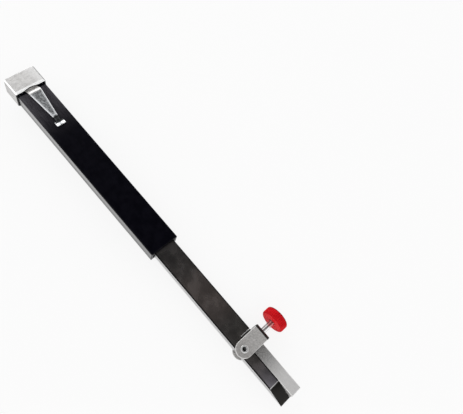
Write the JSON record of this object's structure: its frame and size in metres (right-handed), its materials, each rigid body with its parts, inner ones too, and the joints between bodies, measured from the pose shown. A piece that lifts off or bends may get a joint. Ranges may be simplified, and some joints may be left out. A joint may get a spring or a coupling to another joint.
{
  "type": "hi-lo welding gauge",
  "caption": "Pocket gauge for pipe misalignment: a flat bar telescopes from a clipped sleeve and ends in a fixed and a sliding leg clamped by a thumb screw.",
  "frame": {"origin": "middle of the sleeve's flat underside", "axes": "+X along the bar towards the leg tips, +Y towards the thumb screw's knob, +Z out of the black face"},
  "size_m": [0.214, 0.0303, 0.0141],
  "materials": {
    "sleeve_steel": "brushed along its length",
    "black_face": "satin, faintly grained",
    "plug_aluminium": "as turned",
    "cap_steel": "brushed with bright chamfers",
    "fastener_steel": "plain bright",
    "clip_steel": "bright rims, satin panel",
    "guide_plastic": "moulded, matt",
    "bar_steel": "dark polished face, bright ground sides",
    "bracket_steel": "fine bead blasted",
    "rivet_steel": "polished",
    "leg_steel": "satin ground",
    "screw_steel": "polished shank",
    "red_knob": "glossy with fine rim flutes"
  },
  "bodies": {
    "sleeve": {"sleeve_channel": "sleeve_steel", "face_plate": "black_face", "end_plug": "plug_aluminium", "end_cap": "cap_steel", "cap_screw": "fastener_steel", "pocket_clip": "clip_steel", "clip_rivet": "fastener_steel", "mouth_bush": "guide_plastic"},
    "bar": {"main_bar": "bar_steel", "rear_shoe": "guide_plastic", "shoe_pin": "fastener_steel", "drag_spring": "fastener_steel", "clamp_bracket": "bracket_steel", "bracket_rivet": "rivet_steel"},
    "leg": {"sliding_leg": "leg_steel"},
    "screw": {"thumb_screw": "screw_steel"},
    "knob": {"knob": "red_knob"}
  },
  "joints": [
    {"name": "bar_slide", "type": "slide", "parent": "sleeve", "child": "bar", "axis": [1, 0, 0], "range_m": [-0.056, 0]},
    {"name": "leg_slide", "type": "slide", "parent": "bar", "child": "leg", "axis": [1, 0, 0], "range_m": [0, 0.0045]},
    {"name": "screw_advance", "type": "slide", "parent": "bar", "child": "screw", "axis": [0, 1, 0], "range_m": [0, 0.0015]},
    {"name": "knob_turn", "type": "hinge", "parent": "screw", "child": "knob", "pos_m": [0.12215, 0.0171, 0.0042], "axis": [0, 1, 0], "range_deg": [0, 1080]}
  ],
  "couplings": [
    {"joint": "knob_turn", "follows": "screw_advance", "rad_per_m": 12566}
  ]
}
